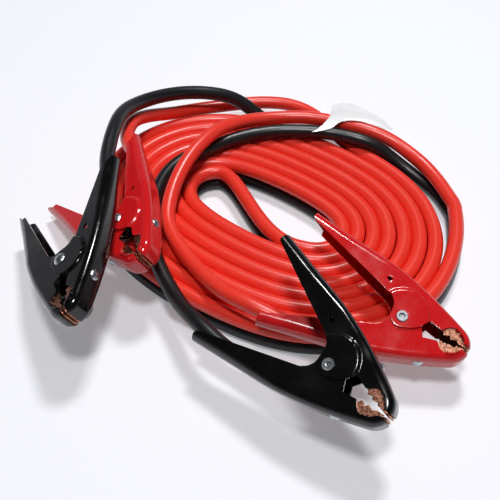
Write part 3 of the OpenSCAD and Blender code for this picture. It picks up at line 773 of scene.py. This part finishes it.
def metal(name, colour, other, roughness, spread, speck_mm, bump_mm):
    material, tree, shader = new_material(name)
    specks = object_noise(tree, 1000 / speck_mm, 4.0, 0.65)
    share = add(tree, "ShaderNodeMapRange", {"Value": specks, "From Min": 0.38, "From Max": 0.62})
    paint = add(tree, "ShaderNodeMix", {
        0: share.outputs[0], 6: linear(colour), 7: linear(other)}, data_type="RGBA")
    tree.links.new(paint.outputs[2], shader.inputs["Base Color"])
    rough = add(tree, "ShaderNodeMapRange", {
        "Value": specks, "From Min": 0.3, "From Max": 0.7,
        "To Min": roughness - spread, "To Max": roughness + spread})
    tree.links.new(rough.outputs[0], shader.inputs["Roughness"])
    bump = add(tree, "ShaderNodeBump", {"Height": specks, "Strength": 0.5, "Distance": bump_mm * MM})
    tree.links.new(bump.outputs[0], shader.inputs["Normal"])
    shader.inputs["Metallic"].default_value = 1.0
    return material


RED_ENAMEL = enamel("red_stoving_enamel", "#d61a1e", "#a80e12", "#e23030", 0.6)
BLACK_ENAMEL = enamel("black_stoving_enamel", "#050506", "#020203", "#101012", 0.5)
COPPER = metal("tumbled_pressed_copper", "#8f5742", "#c9937a", 0.36, 0.12, 1.6, 0.06)
ZINC = metal("zinc_plated_steel", "#c9ccd0", "#9fa3a8", 0.30, 0.10, 2.0, 0.08)
SPRING_STEEL = metal("oil_blackened_spring_steel", "#1b1c1f", "#2c2d31", 0.28, 0.10, 1.2, 0.08)
print("finishes:", ", ".join(m.name for m in (RED_ENAMEL, BLACK_ENAMEL, COPPER, ZINC, SPRING_STEEL)))

# %% [markdown]
# Each clamp is built in its own frame, with the pivot at the origin, and then
# carried to its place. One half is the free one. The other holds the cable and is
# the same pressing turned over, so its raised boss is on the other face.

# %% Eight pressed halves and eight copper liners
Z_AXIS = Vector((0, 0, 1))
HANG_HOLE_R, PIVOT_HOLE_R = 2.0, 3.05
STEEL_RIM, COPPER_RIM = 0.22, 0.15
HANG_HOLE = (Vector((-19.5, 23.3, CLAMP_W / 2)), Z_AXIS, HANG_HOLE_R)
PIVOT_HOLES = [(Vector((0, 0, z)), Z_AXIS, PIVOT_HOLE_R)
               for z in (CLAMP_W / 2, CLAMP_W / 2 + BOSS_RAISE, -CLAMP_W / 2)]
turned_over = Matrix.Rotation(math.pi, 4, "X")
for clamp in CLAMPS:
    paint = RED_ENAMEL if "red" in clamp else BLACK_ENAMEL
    colour = clamp.split("_")[1]
    for part, notch_side, place, body in (
            ("free", -1, clamp_place(clamp), clamp + "_free_side"),
            ("cable", 1, clamp_place(clamp) @ turned_over, "cable_set")):
        grid = channel_grid(half_stations(notch_side), boss=True)
        half = shell_from_grid(f"{clamp}_{part}_pressing", grid, [HANG_HOLE, *PIVOT_HOLES],
                               SHEET_T, STEEL_RIM, place, paint)
        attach(half, body)
        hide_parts(f"{clamp}_{part}_half")
        liner = shell_from_grid(f"{clamp}_{part}_liner", channel_grid(liner_stations()),
                                [], COPPER_T, COPPER_RIM, place, COPPER)
        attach(liner, body)
        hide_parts(f"{clamp}_{part}_jaw")
    print(clamp, "halves:", len(half.data.polygons), "faces each, liners:", len(liner.data.polygons))

# %% [markdown]
# The rivets and lugs are turned and crimped parts whose CAD shapes are already right,
# so they stay as they are and get their finish.

# %% Finish for the parts that stay
STAYING = {"_pivot_rivet": ZINC, "_cable_rivet": ZINC, "_free_rivet": ZINC, "_lug": COPPER}
for clamp in CLAMPS:
    for ending, finish in STAYING.items():
        part = bpy.data.objects[clamp + ending]
        for slot in part.material_slots:
            slot.material = finish
        if not part.material_slots:
            part.data.materials.append(finish)
print("parts that stay:", len(CLAMPS) * len(STAYING))

# %% [markdown]
# A torsion spring winds up when the handles are squeezed: one leg stays with each
# half and the coils share the turn. Its CAD mesh is loose triangles, so a copy is
# merged, and the copy takes the CAD spring's place.

# %% Four torsion springs, merged from their CAD meshes
for clamp in CLAMPS:
    bm = bmesh.new()
    bm.from_mesh(bpy.data.objects[clamp + "_spring"].data)
    bmesh.ops.remove_doubles(bm, verts=bm.verts, dist=MERGE_WITHIN * MM)
    wire = bpy.data.meshes.new(clamp + "_torsion_spring")
    bm.to_mesh(wire)
    bm.free()
    wire.materials.append(SPRING_STEEL)
    spring = bpy.data.objects.new(clamp + "_torsion_spring", wire)
    bpy.context.scene.collection.objects.link(spring)
    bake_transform(spring)
    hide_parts(clamp + "_spring")
print("springs:", len(CLAMPS), "of", len(spring.data.polygons), "faces")

# %% [markdown]
# ## Label
# A paper label wraps over the cords where they leave the coil. It is a thin, stiff
# sheet with a plastic film over it, bare of any print. It bends over the crest of one
# cord and falls away behind it, and a tongue of it laps over the next cord. Its form
# is a smooth surface through a net of points.

# %% The label as a thin bent sheet
LABEL_T, NET_STEPS, LABEL_SHARP = 0.25, 8, 50
LABEL_NET = np.array([
    [(74, 174, 36), (90.5, 177.5, 37), (103, 187, 38.3), (124, 185.5, 38.2), (145, 177, 34)],
    [(82, 179.5, 37.7), (95, 184.5, 38.2), (108, 191, 39.1), (127.5, 188.5, 38.8), (146, 178, 34.9)],
    [(91.5, 193.5, 38.7), (103, 200, 39), (116, 198.5, 38.8), (132, 192.5, 38.1), (146.5, 179.5, 34.6)],
    [(94, 209, 34.5), (106, 213, 34.6), (118.5, 210, 34), (135.5, 199.5, 33.8), (148, 183.5, 32.5)],
    [(96, 223.5, 29), (108.5, 227.5, 29), (121.5, 222.5, 28.5), (139.5, 207, 28), (150, 186.5, 29)],
])
across = [spline(list(row), NET_STEPS) for row in LABEL_NET]
surface = np.stack(
    [spline([row[i] for row in across], NET_STEPS) for i in range(len(across[0]))], axis=1)
surface[:, :, 2] -= LABEL_T / 2
rows, columns = surface.shape[:2]
faces = [(r * columns + c, r * columns + c + 1, (r + 1) * columns + c + 1, (r + 1) * columns + c)
         for r in range(rows - 1) for c in range(columns - 1)]
label_mesh = bpy.data.meshes.new("paper_label")
label_mesh.from_pydata((surface.reshape(-1, 3) * MM).tolist(), [], faces)
label = bpy.data.objects.new("paper_label", label_mesh)
bpy.context.scene.collection.objects.link(label)
film = label.modifiers.new("paper", "SOLIDIFY")
film.thickness, film.offset = LABEL_T * MM, 0
graph = bpy.context.evaluated_depsgraph_get()
label.data = bpy.data.meshes.new_from_object(label.evaluated_get(graph), depsgraph=graph)
label.modifiers.clear()
for polygon in label.data.polygons:
    polygon.use_smooth = True
label.data.set_sharp_from_angle(angle=math.radians(LABEL_SHARP))

coated, tree, shader = new_material("film_coated_label_paper")
fibre = object_noise(tree, 1500.0, 3.0)               # fibres of under a millimetre
tone = add(tree, "ShaderNodeMix", {
    0: fibre, 6: linear("#f1f2f4"), 7: linear("#fbfbfc")}, data_type="RGBA")
tree.links.new(tone.outputs[2], shader.inputs["Base Color"])
ripple = object_noise(tree, 90.0, 2.0)                # ripples of about 11 mm
bump = add(tree, "ShaderNodeBump", {"Height": ripple, "Strength": 0.15, "Distance": 0.0005})
tree.links.new(bump.outputs[0], shader.inputs["Normal"])
shader.inputs["Roughness"].default_value = 0.35
shader.inputs["Coat Weight"].default_value = 0.3
label.data.materials.clear()
label.data.materials.append(coated)
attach(label, "cable_set")
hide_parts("label")

# %% [markdown]
# ## Studio
# The set lies on white paper under two soft boxes, one overhead and one higher up
# behind. They are small enough to draw shadows with readable edges, and a thin bright
# line along every rounded spine. Neither stands where a flat plate would mirror it.
# The room is dim, most of all overhead, so the black enamel stays black.
#
# The paper is a light grey with a faint glow that only the camera and mirror-like
# surfaces see. It comes out white and keeps its shadows, without more light on the
# object.

# %% Floor
FLOOR_REACH, PAPER_GLOW = 6.0, 0.25
floor_mesh = bpy.data.meshes.new("floor")
floor_corners = [(x * FLOOR_REACH, y * FLOOR_REACH, 0) for x, y in ((-1, -1), (1, -1), (1, 1), (-1, 1))]
floor_mesh.from_pydata(floor_corners, [], [(0, 1, 2, 3)])
floor = bpy.data.objects.new("floor", floor_mesh)
bpy.context.scene.collection.objects.link(floor)
paper, tree, shader = new_material("matt_white_backdrop_paper")
tooth = object_noise(tree, 900.0, 2.0)                # a grain of about a millimetre
bump = add(tree, "ShaderNodeBump", {"Height": tooth, "Strength": 0.1, "Distance": 0.0001})
tree.links.new(bump.outputs[0], shader.inputs["Normal"])
shader.inputs["Base Color"].default_value = linear("#e2e3e8")
shader.inputs["Roughness"].default_value = 0.7
rays = add(tree, "ShaderNodeLightPath")
seen = add(tree, "ShaderNodeMath", {
    0: rays.outputs["Is Camera Ray"], 1: rays.outputs["Is Glossy Ray"]}, operation="MAXIMUM")
seen = add(tree, "ShaderNodeMath", {
    0: seen.outputs[0], 1: rays.outputs["Is Transmission Ray"]}, operation="MAXIMUM")
glow = add(tree, "ShaderNodeMath", {0: seen.outputs[0], 1: PAPER_GLOW}, operation="MULTIPLY")
tree.links.new(glow.outputs[0], shader.inputs["Emission Strength"])
shader.inputs["Emission Color"].default_value = linear("#fafbff")
floor_mesh.materials.append(paper)
print("floor:", 2 * FLOOR_REACH, "m wide")

# %% Lamps and world
SET_MIDDLE = Vector((0.02, 0.06, 0))
X_AXIS = Vector((1, 0, 0))


def soft_box(name, at, length, width, power):
    """An area lamp that faces the set, with its length from left to right."""
    lamp = bpy.data.lights.new(name, "AREA")
    lamp.shape, lamp.size, lamp.size_y, lamp.energy = "RECTANGLE", length, width, power
    back = (Vector(at) - SET_MIDDLE).normalized()
    up = back.cross(X_AXIS).normalized()
    holder = bpy.data.objects.new(name, lamp)
    holder.matrix_world = Matrix.Translation(at) @ Matrix((up.cross(back), up, back)).transposed().to_4x4()
    bpy.context.scene.collection.objects.link(holder)


soft_box("key", (0.0, -0.42, 1.95), 0.28, 0.28, 17)
soft_box("back_box", (0.31, 0.96, 2.1), 0.4, 0.35, 26)

world = bpy.data.worlds.new("dim_studio")
bpy.context.scene.world = world
world.use_nodes = True
tree = world.node_tree
way = add(tree, "ShaderNodeTexCoord")
parts = add(tree, "ShaderNodeSeparateXYZ", {0: way.outputs["Generated"]})
height = add(tree, "ShaderNodeMapRange", {
    "Value": parts.outputs["Z"], "From Min": 0.0, "From Max": 0.6, "To Min": 0.30, "To Max": 0.05},
    interpolation_type="SMOOTHSTEP")
sky = tree.nodes["Background"]
sky.inputs["Color"].default_value = linear("#f4f6ff")
tree.links.new(height.outputs[0], sky.inputs["Strength"])
bpy.context.scene.view_settings.view_transform = "Standard"
print("lamps:", ", ".join(light.name for light in bpy.data.lights))
